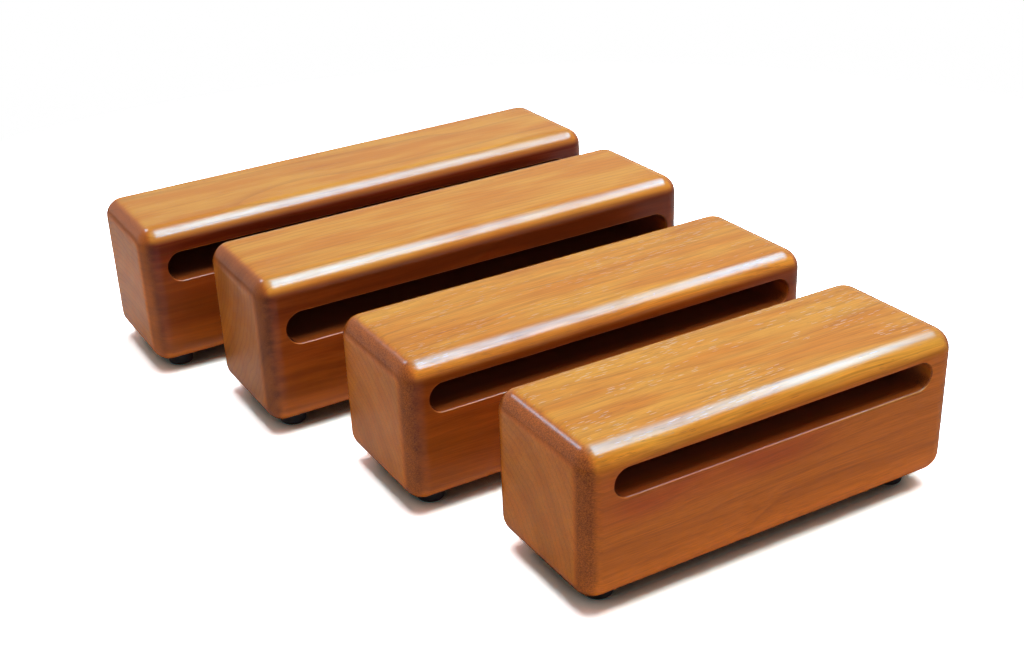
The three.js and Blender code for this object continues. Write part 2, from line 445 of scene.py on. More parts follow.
def rounded(profile, radii, steps=6):
    """Profile with each corner replaced by an arc.

    The arc of radius r touches both sides of the corner at r / tan(a), where a is half the corner's
    angle, and is swept evenly about its centre at r / sin(a) along the bisector.
    """
    profile = np.asarray(profile, float)
    radii = np.asarray(radii, float)[:, None]
    before = unit(np.roll(profile, 1, axis=0) - profile)
    after = unit(np.roll(profile, -1, axis=0) - profile)
    half = np.arccos(np.clip((before * after).sum(axis=1, keepdims=True), -1, 1)) / 2
    bisector = unit(before + after)
    centre = profile + bisector * radii / np.sin(half)
    start = profile + before * radii / np.tan(half) - centre
    end = profile + after * radii / np.tan(half) - centre
    sweep = (np.pi - 2 * half)[:, None]
    t = np.linspace(0, 1, steps + 1)[None, :, None]
    arc = (np.sin((1 - t) * sweep) * start[:, None] + np.sin(t * sweep) * end[:, None]) / np.sin(sweep)
    return (centre[:, None] + arc).reshape(-1, 2)


def turned(profile, centre, sides):
    """Grid of a profile of (radius, height) turned once about a vertical axis through centre."""
    angle = -2 * np.pi * np.arange(sides) / sides
    radius, height = profile[:, :1], profile[:, 1:]
    return points_of(radius * np.cos(angle), radius * np.sin(angle), height) + centre


def ring(profile, radii, centre):
    """Grid of a closed profile with rounded corners, turned about a vertical axis through centre."""
    profile = rounded(profile, radii)
    return turned(np.concatenate([profile, profile[:1]]), centre, RING_SIDES)


def end_columns(reach, below, above, radius, count):
    """Columns round one end of a billet, from under the chamber's end arc to above it.

    The three layers are, from the arc's centre, the point of the inner rectangle that a column leaves
    from, its outward direction there and its direction on the arc, which points straight at the ring
    where the column ends. Columns on the flat end are spread evenly by their angle on the arc.
    """
    turn = np.linspace(0, QUARTER_TURN, EDGE_COLUMNS + 1)[1:]
    flat = np.linspace(np.arctan2(below, reach + radius), np.arctan2(above, reach + radius), count)[1:]
    under = reach * np.linspace(0, 1, UNDER_COLUMNS)
    over = reach * np.linspace(1, 0, OVER_COLUMNS)[1:]
    base = np.concatenate([
        points_of(under, below),
        points_of(0 * turn + reach, below),
        points_of(reach, (reach + radius) * np.tan(flat)),
        points_of(0 * turn + reach, above),
        points_of(over, above),
    ])
    outward = np.concatenate([
        points_of(0 * under, -1),
        points_of(np.sin(turn), -np.cos(turn)),
        points_of(1, 0 * flat),
        points_of(np.cos(turn), np.sin(turn)),
        points_of(0 * over, 1),
    ])
    widest = base + radius * outward
    angle = np.arctan2(widest[:, 1], widest[:, 0])
    return np.stack([base, outward, points_of(np.cos(angle), np.sin(angle))])


def halved(inside, count):
    """Per column, the largest share from 0 to 1 for which inside(share) still holds, by halving."""
    low = np.zeros(count)
    high = np.ones(count)
    for _ in range(HALVINGS):
        middle = (low + high) / 2
        held = inside(middle)
        low = np.where(held, middle, low)
        high = np.where(held, high, middle)
    return high


def billet_grid(low, high, chamber, sizes):
    """Grid over a whole billet: chamber floor, walls, mouth, front, sides, back.

    At depth y a section of the rounded box is its inner rectangle grown by a disc of radius
    sqrt(r^2 - (r - y)^2), and a section of the chamber is a line grown by a disc. Each column starts
    on the line, follows the chamber out, crosses the front straight from the mouth's rim to the box's
    widest ring, with the front's depth r - sqrt(r^2 - d^2) at distance d outside the inner rectangle,
    and then runs over the side to the middle of the back. The rim is where the mouth's rounding and
    the front meet.
    """
    r = sizes.edge_radius
    mouth = sizes.mouth_radius
    corner = sizes.floor_radius
    (slot_left, _, slot_low), (slot_right, slot_end, slot_high) = chamber
    level = (slot_low + slot_high) / 2
    slot = (slot_high - slot_low) / 2 + OPENING_CLEARANCE
    depth = slot_end - low[1] + corner
    thickness = high[1] - low[1]
    inner = np.array([[low[0] + r, low[2] + r], [high[0] - r, high[2] - r]])

    # Columns, against the clock as the front is seen
    below, above = inner[:, 1] - level
    right = end_columns(inner[1, 0] - slot_right, below, above, r, sizes.end_columns)
    right[0] += [slot_right, level]
    left = end_columns(slot_left - inner[0, 0], below, above, r, sizes.end_columns) * [-1, 1]
    left[0] += [slot_left, level]
    along = np.linspace(slot_right, slot_left, MIDDLE_COLUMNS + 2)[1:-1]
    upward = points_of(0 * along, 1)
    over = np.stack([points_of(along, inner[1, 1]), upward, upward])
    under = np.stack([points_of(along, inner[0, 1]), -upward, -upward])
    base, outward, arc = np.concatenate([right, over, left[:, ::-1], under[:, ::-1]], axis=1)
    line = points_of(np.clip(base[:, 0], slot_left, slot_right), level)
    widest = base + r * outward

    def drop(point):
        """Depth of the front at a point."""
        beyond = np.maximum(np.maximum(inner[0] - point, point - inner[1]), 0)
        return r - np.sqrt(np.maximum(r * r - (beyond ** 2).sum(axis=-1), 0))

    def lip(share):
        """Point and depth at a share of the way round the mouth."""
        angle = share * QUARTER_TURN
        point = line + (slot + mouth * (1 - np.cos(angle)))[:, None] * arc
        return point, mouth * (1 - np.sin(angle))

    def under_front(share):
        """Whether the mouth is still deeper than the front there."""
        point, sunk = lip(share)
        return sunk > drop(point)

    rim_share = halved(under_front, len(base))
    rim, rim_depth = lip(rim_share)
    flat_share = halved(lambda share: drop(rim + share[:, None] * (widest - rim)) <= 0, len(base))
    flat_share = np.where(flat_share < LEAST_FLAT, 0, flat_share)

    rows = []

    def add(point, y):
        """Adds a row of points at a depth."""
        rows.append(points_of(point[:, 0], y, point[:, 1]))

    for share in CHAMBER_FLOOR_ROWS:
        add(line + share * (slot - corner) * arc, depth)
    for angle in np.linspace(0, QUARTER_TURN, CHAMBER_CORNER_STEPS + 1)[1:]:
        add(line + (slot - corner + corner * np.sin(angle)) * arc, depth - corner * (1 - np.cos(angle)))
    for share in CHAMBER_WALL_ROWS:
        add(line + slot * arc, (depth - corner) * (1 - share) + mouth * share)
    for share in np.linspace(0, 1, MOUTH_STEPS + 1)[1:]:
        add(*lip(share * rim_share))
    for share in FRONT_ROWS:
        point = rim + (share * flat_share)[:, None] * (widest - rim)
        add(point, np.where(flat_share > 0, drop(point), rim_depth))
    for angle in np.linspace(0, QUARTER_TURN, FRONT_EDGE_STEPS + 1)[1:]:
        share = flat_share + (1 - flat_share) * np.sin(angle)
        point = rim + share[:, None] * (widest - rim)
        add(point, drop(point))
    for share in SIDE_ROWS:
        add(widest, r + share * (thickness - 2 * r))
    for angle in np.linspace(QUARTER_TURN, 0, BACK_EDGE_STEPS + 1)[1:]:
        add(base + r * np.sin(angle) * outward, thickness - r * (1 - np.cos(angle)))
    spread = (inner[1, 1] - inner[0, 1]) / 2
    spine = np.clip(base[:, 0], inner[0, 0] + spread, inner[1, 0] - spread)
    middle = points_of(spine, inner[:, 1].mean())
    for share in BACK_ROWS:
        add(base + share * (middle - base), thickness)
    return np.stack(rows) + [0, low[1], 0]


def screw_grid(seat, sizes, length):
    """Grid of a pan-head wood screw, from the middle of its head to its point.

    The head's face has a cross recess: its depth falls from the middle along two arms. The shank's
    radius at height z and angle a is the core's, raised by a ridge where z / pitch - a / turn is
    near a whole number and a half. Core and crest both taper to the point.
    """
    angle = -2 * np.pi * np.arange(SCREW_SIDES) / SCREW_SIDES
    head = sizes.screw_head_radius
    tall = sizes.screw_head_height
    core = sizes.screw_core_radius
    crest = sizes.screw_crest_radius
    face = np.linspace(0, HEAD_FLAT * head, FLAT_ROWS)
    bend = np.linspace(0, QUARTER_TURN, BENT_ROWS + 1)[1:]
    radius = np.concatenate([
        face,
        HEAD_FLAT * head + (1 - HEAD_FLAT) * head * np.sin(bend),
        [head, HEAD_UNDERSIDE * head, NECK * crest],
    ])
    height = np.concatenate([
        -tall + HEAD_CROWN * tall * (face / face[-1]) ** 2,
        -tall * (1 - HEAD_CROWN - HEAD_DROP * (1 - np.cos(bend))),
        [-HEAD_RIM * tall, 0, 0],
    ])
    across = radius[:, None] * np.cos(angle)
    up = radius[:, None] * np.sin(angle)
    arm = np.minimum(np.abs(across), np.abs(up))
    out = np.maximum(np.abs(across), np.abs(up))
    wide = np.clip((RECESS_ARM[0] - arm) / RECESS_ARM[1], 0, 1)
    recess = RECESS_DEPTH * wide * np.clip((RECESS_REACH[0] - out) / RECESS_REACH[1], 0, 1)
    head_rows = points_of(across, up, height[:, None] + recess)

    z = np.linspace(THREAD_START, length, THREAD_ROWS)
    taper = np.clip((length - z) / sizes.screw_tip_length, 0, 1)[:, None]
    turn = np.mod(z[:, None] / sizes.screw_pitch - angle / (2 * np.pi), 1)
    ridge = np.clip(1 - np.abs(2 * turn - 1) / RIDGE_SHARE, 0, 1) * np.clip(z / RUN_IN, 0, 1)[:, None]
    shank = taper ** TIP_POWER * (core + (crest - core) * ridge)
    shank_rows = points_of(shank * np.cos(angle), shank * np.sin(angle), z[:, None])
    return np.concatenate([head_rows, shank_rows]) + seat


# Node trees


def place(tree, kind, inputs=None, **settings):
    """Adds a shader node with its settings, and fills or links the inputs named or numbered."""
    made = tree.nodes.new(f"ShaderNode{kind}")
    for name, value in settings.items():
        setattr(made, name, value)
    for key, value in (inputs or {}).items():
        if isinstance(value, bpy.types.NodeSocket):
            tree.links.new(value, made.inputs[key])
        else:
            made.inputs[key].default_value = value
    return made


def maths(tree, operation, *values):
    """Output of a Math node on numbers or sockets."""
    return place(tree, "Math", dict(enumerate(values)), operation=operation).outputs[0]


def times(tree, product, *others):
    """Product of numbers or sockets."""
    for other in others:
        product = maths(tree, "MULTIPLY", product, other)
    return product


def added(tree, value, share, base):
    """Value times share, added to base."""
    return maths(tree, "MULTIPLY_ADD", value, share, base)


def one_less(tree, value):
    """One less a value."""
    return maths(tree, "SUBTRACT", 1.0, value)


def vectors(tree, operation, first, second):
    """Output of a Vector Math node on vectors or sockets."""
    return place(tree, "VectorMath", {0: first, 1: second}, operation=operation).outputs[0]


def split(tree, vector):
    """Outputs of a vector's three parts."""
    return place(tree, "SeparateXYZ", {0: vector}).outputs


def ramped(tree, value, start, end, low=0.0, high=1.0, way="SMOOTHSTEP"):
    """Value carried from low at start to high at end."""
    return place(
        tree, "MapRange",
        {"Value": value, "From Min": start, "From Max": end, "To Min": low, "To Max": high},
        interpolation_type=way,
    ).outputs["Result"]


def following(tree, effect, value, base=0.0, scale=1.0, levels=()):
    """One of the ramps on a value, its start and end measured from a base and by a scale."""
    start, end, *own = RAMPS[effect]
    return ramped(tree, value, base + scale * start, base + scale * end, *(levels or own))


def noise(tree, vector, pattern, output=0):
    """One of the noises, on a vector that is first scaled on each axis."""
    scale, detail, roughness = NOISES[pattern]
    scaled = vectors(tree, "MULTIPLY", vector, scale)
    inputs = {"Vector": scaled, "Scale": 1.0, "Detail": detail, "Roughness": roughness}
    return place(tree, "TexNoise", inputs).outputs[output]


def within(tree, position, low, high):
    """One inside a box and nothing outside it."""
    above = vectors(tree, "SUBTRACT", position, low)
    under = vectors(tree, "SUBTRACT", high, position)
    parts = split(tree, vectors(tree, "MINIMUM", above, under))
    smallest = maths(tree, "MINIMUM", maths(tree, "MINIMUM", parts[0], parts[1]), parts[2])
    return maths(tree, "GREATER_THAN", smallest, 0.0)


def mixed(tree, share, first, second, mode="MIX"):
    """Colour mix of two colours or sockets."""
    inputs = {0: share, 6: first, 7: second}
    return place(tree, "Mix", inputs, data_type="RGBA", blend_type=mode).outputs[2]


def chosen(tree, share, first, second):
    """Number between two numbers or sockets, by a share."""
    return place(tree, "Mix", {0: share, 2: first, 3: second}, data_type="FLOAT").outputs[0]


def tinted(tree, red, green, blue):
    """Colour of three numbers or sockets."""
    return place(tree, "CombineColor", {0: red, 1: green, 2: blue}).outputs[0]


def toned(tree, colour, level):
    """Colour made lighter or darker by a level."""
    return mixed(tree, 1.0, colour, tinted(tree, level, level, level), "MULTIPLY")


def group_of(name, inputs, outputs):
    """Empty shader node group with named sockets, and its input and output nodes."""
    tree = bpy.data.node_groups.new(name, "ShaderNodeTree")
    for label, kind, default in inputs:
        socket = tree.interface.new_socket(label, in_out="INPUT", socket_type=kind)
        if default is not None:
            socket.default_value = default
    for label, kind in outputs:
        tree.interface.new_socket(label, in_out="OUTPUT", socket_type=kind)
    return tree, tree.nodes.new("NodeGroupInput"), tree.nodes.new("NodeGroupOutput")


def hardwood_figure():
    """Group for the figure of a lacquered hardwood, grain along X, on positions in millimetres.

    The pith lies along X through the position's origin, so growth rings are circles on the ends and
    lines on the faces. Fibres, streaks, lines and patches are noise drawn out along X. Pores are cells
    drawn out along X: grooves in the long faces, some painted pale on top as a painted highlight. Faces
    that look up are golden and upright ones redder, painted light and shade by which way a face looks,
    and upright ones darken further towards deep under a painted shade of the gaps between blocks. Rounded
    end grain is dark and stippled, the long top edges are painted lighter as though lit, and upright faces
    have broad dark bands. A painted light from the floor and a painted shade in the chamber come in as
    inputs.
    """
    name = "Hardwood figure"
    if name in bpy.data.node_groups:
        return bpy.data.node_groups[name]
    colour, number, vector = "NodeSocketColor", "NodeSocketFloat", "NodeSocketVector"
    tree, given, result = group_of(
        name,
        [("Position", vector, None), ("Normal", vector, None)]
        + [(label, colour, None) for label in COLOURS]
        + [(label, number, default) for label, default in FIGURE_DEFAULTS.items()],
        [("Colour", colour), ("Roughness", number), ("Height", number)],
    )
    given = given.outputs
    position = given["Position"]

    # The grain wanders a little along the block
    shift = vectors(tree, "SUBTRACT", noise(tree, position, "wander", "Color"), (0.5, 0.5, 0.5))
    shift = vectors(tree, "MULTIPLY", shift, (0.0, GRAIN_WANDER, GRAIN_WANDER))
    grain = vectors(tree, "ADD", position, shift)
    drawn = partial(noise, tree, grain)
    on = partial(following, tree)

    def shown(pattern):
        return on(pattern, drawn(pattern))

    # Which way the surface looks
    facing = split(tree, given["Normal"])
    rise = facing[2]
    side = maths(tree, "ABSOLUTE", facing[0])
    end = on("end", side)
    long_face = one_less(tree, end)
    upright = times(tree, on("upright", maths(tree, "ABSOLUTE", rise)), on("off the end", side))
    # Under the deepest painted gap shade, the red of upright faces reaches further round the edges
    strong_gap_shade = maths(tree, "POWER", given["Stain"], GAP_SHADE_POWER)
    # How far a face looks up: golden tops and redder upright faces are painted light and shade by facing
    up = ramped(tree, rise, UP_START, added(tree, strong_gap_shade, UP_UNDER_GAP_SHADE, UP_END))
    bend = times(tree, on("bend begins", side), on("bend ends", side))

    # Growth rings, and bands of darker wood among them
    parts = split(tree, grain)
    squares = maths(tree, "ADD", times(tree, parts[1], parts[1]), times(tree, parts[2], parts[2]))
    radius = maths(tree, "SQRT", squares)
    year = maths(tree, "DIVIDE", radius, given["Ring spacing"])
    year = maths(tree, "FRACT", added(tree, drawn("wobble"), RING_WOBBLE, year))
    ring_tone = maths(tree, "MAXIMUM", maths(tree, "POWER", year, RING_LATENESS), on("ring start", year))
    ring_tone = times(tree, ring_tone, given["Ring strength"])
    outward = place(tree, "CombineXYZ", {0: times(tree, radius, END_BAND_SCALE)}).outputs[0]
    end_band = place(tree, "TexNoise", {"Vector": outward, "Scale": 1.0, "Detail": 1.0}).outputs[0]

    # Pores, crowded in drifts
    long_cells = {"Vector": vectors(tree, "MULTIPLY", grain, PORE_SCALE), "Scale": 1.0}
    cells = place(tree, "TexVoronoi", long_cells).outputs
    lots = place(tree, "SeparateColor", {0: cells["Color"]}).outputs
    crowded = maths(tree, "ADD", lots[0], shown("drift"))
    groove = times(
        tree, on("pore wall", cells["Distance"]), maths(tree, "GREATER_THAN", crowded, PORE_MISSING),
        given["Pore strength"], on("pores off the end", side), one_less(tree, given["Inside"]),
    )
    # Pores that take the painted highlight on top faces
    caught = times(tree, groove, maths(tree, "GREATER_THAN", lots[1], PORE_WITHOUT_GLINT))

    # Colour: golden on top and red on upright faces, painted light and shade by which way a face looks;
    # red towards the ends; and the painted shade of the gaps between the blocks
    body = mixed(tree, shown("patch"), given["Amber"], given["Golden"])
    red = maths(tree, "MAXIMUM", given["Inside"], one_less(tree, up))
    red = maths(tree, "MAXIMUM", red, on("red towards the end", side))
    red = times(tree, red, on("flat end less red", side))
    body = mixed(tree, red, body, given["Russet_and_side_shade"])
    # Painted shade of the gaps between the blocks: upright faces mixed towards the deep colour
    body = mixed(tree, times(tree, upright, given["Stain"]), body, given["Deep"])
    body = mixed(tree, given["Blush"], body, given["Cherry"])

    # Streaks, lines, rings and fibres
    fibre = drawn("fibre")
    streaked = times(tree, shown("streak"), added(tree, up, STREAK_ON_TOP, STREAK_SHARE))
    body = mixed(tree, times(tree, streaked, given["Streak strength"]), body, given["Umber"])
    body = mixed(tree, times(tree, shown("line"), long_face), body, given["Umber"])
    body = mixed(tree, ring_tone, body, given["Umber"])
    body = toned(tree, body, added(tree, on("fibre", fibre), given["Streak strength"], 1.0))

    # Pores, their painted highlights (a pale colour in place of light on top faces) and the umber of the
    # bends
    body = mixed(tree, times(tree, groove, on("pore stain", upright)), body, given["Pore"])
    body = mixed(tree, times(tree, caught, on("glint on top", rise), PAINTED_GLINT_SHARE), body, given["Painted_glint"])
    body = mixed(tree, times(tree, bend, BEND_SHARE), body, given["Umber"])

    # Tone: the ends' own and their bands, painted light on the long top edges, broad bands, painted light
    # from the floor and stippled bends
    shade = one_less(tree, times(tree, end, one_less(tree, given["End tone"])))
    shade = maths(tree, "SUBTRACT", shade, times(tree, end, on("end band", end_band)))
    # Painted light on the long top edges: their roundings lightened as though lit
    painted_edge_light = times(tree, on("edge light begins", rise), on("edge light ends", rise), long_face)
    shade = added(tree, painted_edge_light, given["Painted edge light"], shade)
    broad = times(tree, shown("broad band"), upright)
    shade = added(tree, broad, given["Band strength"], shade)
    # Painted light from the floor: the front lightened towards its bottom
    shade = maths(tree, "ADD", shade, given["Lift"])
    speckle = times(tree, shown("stipple"), given["Bend strength"])
    speckle = added(tree, drawn("smoky"), BEND_SMOKE, speckle)
    body = toned(tree, body, added(tree, bend, speckle, shade))
    # Painted shade inside the chamber, darker deeper in
    body = mixed(tree, given["Depth"], body, given["Chamber_shade"])
    tree.links.new(body, result.inputs["Colour"])

    # Gloss and relief
    tree.links.new(on("gloss", fibre), result.inputs["Roughness"])
    height = times(tree, fibre, FIBRE_RELIEF)
    height = added(tree, groove, added(tree, end, PORE_RELIEF_END, PORE_RELIEF), height)
    height = added(tree, drawn("ripple"), RIPPLE_RELIEF, height)
    tree.links.new(height, result.inputs["Height"])
    return tree


def new_material(name, **values):
    """Material with a Principled shader, and its node tree and shader."""
    material = bpy.data.materials.new(name)
    material.use_nodes = True
    tree = material.node_tree
    shader = tree.nodes["Principled BSDF"]
    for label, value in values.items():
        shader.inputs[label].default_value = value
    return material, tree, shader


def dressed(tree, shader, colour, roughness, height, distance, strength):
    """Links a colour, a roughness and the bump of a height to a shader."""
    tree.links.new(colour, shader.inputs["Base Color"])
    tree.links.new(roughness, shader.inputs["Roughness"])
    bump = place(tree, "Bump", {"Height": height, "Distance": distance, "Strength": strength})
    tree.links.new(bump.outputs[0], shader.inputs["Normal"])


def wood_material(name, pith, turn, blush, strengths, box, chamber):
    """Lacquered hardwood for one block.

    The figure's position is the object's in millimetres, turned by the two angles about Y and Z and
    then moved by pith, so that each block is cut from another place of the tree. The blush is a redder
    cloud on the front, under the chamber's mouth: its middle and reach along X and its strength. The
    strengths are the figure group's own inputs. The painted gap shade and the painted floor light change
    with height: the painted shade of fronts and backs deepens towards the top, and the painted light on
    the front fades from its bottom edge up. The chamber takes a painted shade, darker deeper in.
    """
    colours = bpy.context.scene.block_colours
    strengths = dict(zip(STRENGTHS, strengths))
    material, tree, shader = new_material(name, IOR=1.5)
    where = place(tree, "TexCoord").outputs
    spot = where["Object"]
    moved = {"Vector": spot, "Location": pith, "Rotation": (0.0, *turn), "Scale": (1 / MILLIMETRE,) * 3}
    grown = place(tree, "Mapping", moved).outputs[0]
    x, y, z = split(tree, spot)
    (_, face, foot), (_, _, top) = box
    tall = top - foot
    (left, _, lip), (right, floor, roof) = chamber
    on = partial(following, tree)

    # Redder wood on the front, under the chamber's mouth
    middle, reach, strength = blush
    front = on("front", y, face)
    off = maths(tree, "ABSOLUTE", maths(tree, "SUBTRACT", x, middle))
    cloud = noise(tree, grown, "cloud")
    reddened = times(
        tree, front, on("under the lip", z, lip), on("blush reach", off, 0.0, reach),
        on("blush cloud", cloud, levels=(strength / 2, strength)), on("under the roof", z, roof),
    )

    # Painted shade in the chamber, darker deeper in, and the painted gap shade and painted floor light of
    # the upright faces
    dark_low = np.add((left, face, lip), INSIDE_LOW)
    dark_high = np.add((right, floor, roof), INSIDE_HIGH)
    inside = within(tree, spot, dark_low, dark_high)
    sunk = on("sunk", y, face)
    gap_shade = maths(tree, "ADD", on("low gap shade", z, foot, tall), on("high gap shade", z, foot, tall))
    painted_floor_light = on("painted_floor_light", z, foot, tall, (strengths["Lift"], 0.0))
    figure = place(
        tree, "Group",
        {
            "Position": grown, "Normal": where["Normal"], "Blush": reddened, "Inside": inside,
            **{label: (*getattr(colours, label.lower()), 1) for label in COLOURS},
            **strengths,
            "Depth": times(tree, inside, sunk),
            "Stain": times(tree, gap_shade, strengths["Stain"]),
            "Lift": times(tree, painted_floor_light, front),
        },
        node_tree=hardwood_figure(),
    ).outputs
    dressed(tree, shader, figure["Colour"], figure["Roughness"], figure["Height"], MILLIMETRE, 1.0)
    return material


def fixing_material(name, first, second, spots, relief, **values):
    """Material whose colour and roughness follow one noise, with another as its relief."""
    material, tree, shader = new_material(name, **values)
    where = place(tree, "TexCoord").outputs["Object"]
    spotted = noise(tree, where, spots)
    tint = mixed(tree, following(tree, f"{spots} tint", spotted), (*first, 1), (*second, 1))
    roughness = following(tree, f"{spots} roughness", spotted)
    dressed(tree, shader, tint, roughness, noise(tree, where, relief), *RELIEFS[relief])
    return material


def rubber_material():
    """Moulded rubber: near black, with the fine tooth of the mould."""
    colours = bpy.context.scene.block_colours
    return fixing_material("Rubber", colours.rubber, colours.dust, "dust", "tooth", IOR=1.52)


def zinc_material():
    """Bright zinc plate: metal with a faint mottle and fine scratches, one for washers and screws."""
    name = "Zinc plate"
    if name in bpy.data.materials:
        return bpy.data.materials[name]
    colours = bpy.context.scene.block_colours
    return fixing_material(name, colours.zinc, colours.dull_zinc, "mottle", "scratch", Metallic=1.0)


def floor_material():
    """White floor with the blocks' shadow and a painted contact shade, plain with distance, clear from
    below.

    To the camera, the floor's level follows how open it is, a painted contact shade, and close to the
    blocks it is painted less red, because the wood throws red on it. Gloss sees it painted dim in front and
    paler behind, a painted shade of the room's light.
    """
    material = bpy.data.materials.new("Studio floor")
    material.use_nodes = True
    tree = material.node_tree
    tree.nodes.clear()
    path = place(tree, "LightPath").outputs
    seen = path["Is Camera Ray"]
    here = place(tree, "NewGeometry").outputs
    depth = split(tree, here["Position"])[1]
    # In gloss the floor is painted dim in front and paler behind, standing in for the room's uneven light
    grey = chosen(tree, path["Is Glossy Ray"], FLOOR_GREY, following(tree, "floor in gloss", depth))
    bounce = place(tree, "BsdfDiffuse", {"Color": tinted(tree, grey, grey, grey)}).outputs[0]
    # Painted contact shade: to the camera the floor darkens where occlusion finds the blocks close
    open_air = place(
        tree, "AmbientOcclusion", {"Distance": PAINTED_SHADE_DISTANCE}, samples=PAINTED_SHADE_SAMPLES,
    ).outputs["AO"]
    level = following(tree, "painted contact shade", open_air)
    painted_less_red = times(tree, level, following(tree, "painted contact red", open_air))
    near = place(tree, "BsdfDiffuse", {"Color": tinted(tree, painted_less_red, level, level)}).outputs[0]
    distance = place(tree, "VectorMath", {0: here["Position"]}, operation="LENGTH").outputs["Value"]
    plain = place(tree, "Emission", {"Color": WHITE, "Strength": 1.0}).outputs[0]

    def blend(share, first, second):
        return place(tree, "MixShader", {0: share, 1: first, 2: second}).outputs[0]

    white = blend(following(tree, "far floor", distance), near, plain)
    clear = place(tree, "BsdfTransparent").outputs[0]
    surface = blend(times(tree, here["Backfacing"], seen), blend(seen, bounce, white), clear)
    place(tree, "OutputMaterial", {"Surface": surface})
    return material


def studio_room(sky_level):
    """World that is white to the camera, and in gloss paler behind the blocks than in front."""
    world = bpy.data.worlds.new("Studio room")
    world.use_nodes = True
    tree = world.node_tree
    tree.nodes.clear()
    toward = split(tree, place(tree, "TexCoord").outputs["Generated"])
    path = place(tree, "LightPath").outputs
    sky = times(tree, following(tree, "sky", toward[2]), sky_level)
    strength = chosen(tree, path["Is Glossy Ray"], sky, following(tree, "backdrop in gloss", toward[1]))
    strength = maths(tree, "MAXIMUM", strength, path["Is Camera Ray"])
    room = place(tree, "Background", {"Color": WHITE, "Strength": strength}).outputs[0]
    place(tree, "OutputWorld", {"Surface": room})
    return world


# Pieces


def add_object(name, data):
    """Puts an object with its data in the scene."""
    made = bpy.data.objects.new(name, data)
    bpy.context.scene.collection.objects.link(made)
    return made


def add_piece(name, mesh, material, body, node):
    """Puts a mesh in the scene as a piece that stands for a node of the frame."""
    mesh.materials.append(material)
    piece = add_object(name, mesh)
    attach(piece, body)
    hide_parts(node)
    return piece


def room_of(node):
    """Centre of a node's box, the heights of its underside and top, and half its width."""
    low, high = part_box(node)
    return (low.x + high.x) / 2, (low.y + high.y) / 2, low.z, high.z, (high.x - low.x) / 2


def nodes_of(kind):
    """Each block with its four nodes of a kind, one under each corner."""
    return [(block, f"{block}_{kind}_{place}") for block in BLOCKS for place in PLACES]


def drill(piece, cutters):
    """Cuts the cutters' mesh out of a piece and keeps the result as the piece's own mesh."""
    tool = add_object("Pilot_cutter", cutters)
    cut = piece.modifiers.new("Pilot holes", "BOOLEAN")
    cut.object = tool
    cut.solver = "EXACT"
    graph = bpy.context.evaluated_depsgraph_get()
    drilled = bpy.data.meshes.new_from_object(piece.evaluated_get(graph))
    piece.modifiers.clear()
    piece.data = drilled
    bpy.data.objects.remove(tool)
    drilled.shade_smooth()
    drilled.set_sharp_from_angle(angle=SHARP_EDGE)


class BuildBillets(bpy.types.Operator):
    """Builds the four billets with their chambers and pilot holes"""

    bl_idname = "wood_blocks.build_billets"
    bl_label = "Billets"

    def execute(self, context):
        sizes = context.scene.block_billets
        openings = {o["name"]: o["box_m"] for o in frame["record"]["physics"]["openings"]}
        for block in BLOCKS:
            low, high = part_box(f"{block}_body")
            chamber = openings[f"{block}_chamber"]
            mesh = skin(f"{block}_billet", billet_grid(low, high, chamber, sizes))
            wood = wood_material(f"{block}_hardwood", *FIGURES[block], (low, high), chamber)
            piece = add_piece(f"{block}_billet", mesh, wood, block, f"{block}_body")
            start = low[2] - PILOT_START
            radius = sizes.pilot_radius
            holes = []
            for spot in PLACES:
                x, y, _, tip, _ = room_of(f"{block}_screw_{spot}")
                profile = np.array([
                    (0.0, start), (radius, start), (radius, tip + PILOT_WALL_END), (0.0, tip + PILOT_POINT),
                ])
                holes.append(turned(profile, (x, y, 0.0), PILOT_SIDES))
            drill(piece, skin("Pilot_cutter", *holes))
        return {"FINISHED"}


class BuildFeet(bpy.types.Operator):
    """Builds the sixteen rubber feet"""

    bl_idname = "wood_blocks.build_feet"
    bl_label = "Feet"

    def execute(self, context):
        sizes = context.scene.block_fixings
        rubber = rubber_material()
        recess = sizes.foot_recess_radius
        deep = sizes.foot_recess_depth
        for block, node in nodes_of("foot"):
            x, y, low, high, top = room_of(node)
            tall = high - low
            grid = ring(
                [
                    (recess, 0), (sizes.foot_base_radius, 0), (top, tall),
                    (sizes.hole_radius, tall), (sizes.hole_radius, deep), (recess, deep),
                ],
                [RECESS_LIP, sizes.foot_edge_radius, SOFT_EDGE, FINE_EDGE, FINE_EDGE, SOFT_EDGE],
                (x, y, low),
            )
            add_piece(f"{node}_rubber", skin(node, grid), rubber, block, node)
        return {"FINISHED"}


class BuildWashers(bpy.types.Operator):
    """Builds the sixteen washers"""

    bl_idname = "wood_blocks.build_washers"
    bl_label = "Washers"

    def execute(self, context):
        hole = context.scene.block_fixings.hole_radius
        zinc = zinc_material()
        for block, node in nodes_of("washer"):
            x, y, low, high, rim = room_of(node)
            tall = high - low
            grid = ring(
                [(hole, 0), (rim, 0), (rim, tall), (hole, tall)],
                [PRESSED_EDGE, SOFT_EDGE, PRESSED_EDGE, PRESSED_EDGE],
                (x, y, low),
            )
            add_piece(f"{node}_plated", skin(node, grid), zinc, block, node)
        return {"FINISHED"}


class BuildScrews(bpy.types.Operator):
    """Builds the sixteen pan-head screws"""

    bl_idname = "wood_blocks.build_screws"
    bl_label = "Screws"

    def execute(self, context):
        sizes = context.scene.block_fixings
        zinc = zinc_material()
        for block, node in nodes_of("screw"):
            x, y, low, high, _ = room_of(node)
            seat = low + sizes.screw_head_height
            grid = screw_grid((x, y, seat), sizes, high - seat)
            add_piece(f"{node}_threaded", skin(node, grid), zinc, block, node)
        return {"FINISHED"}


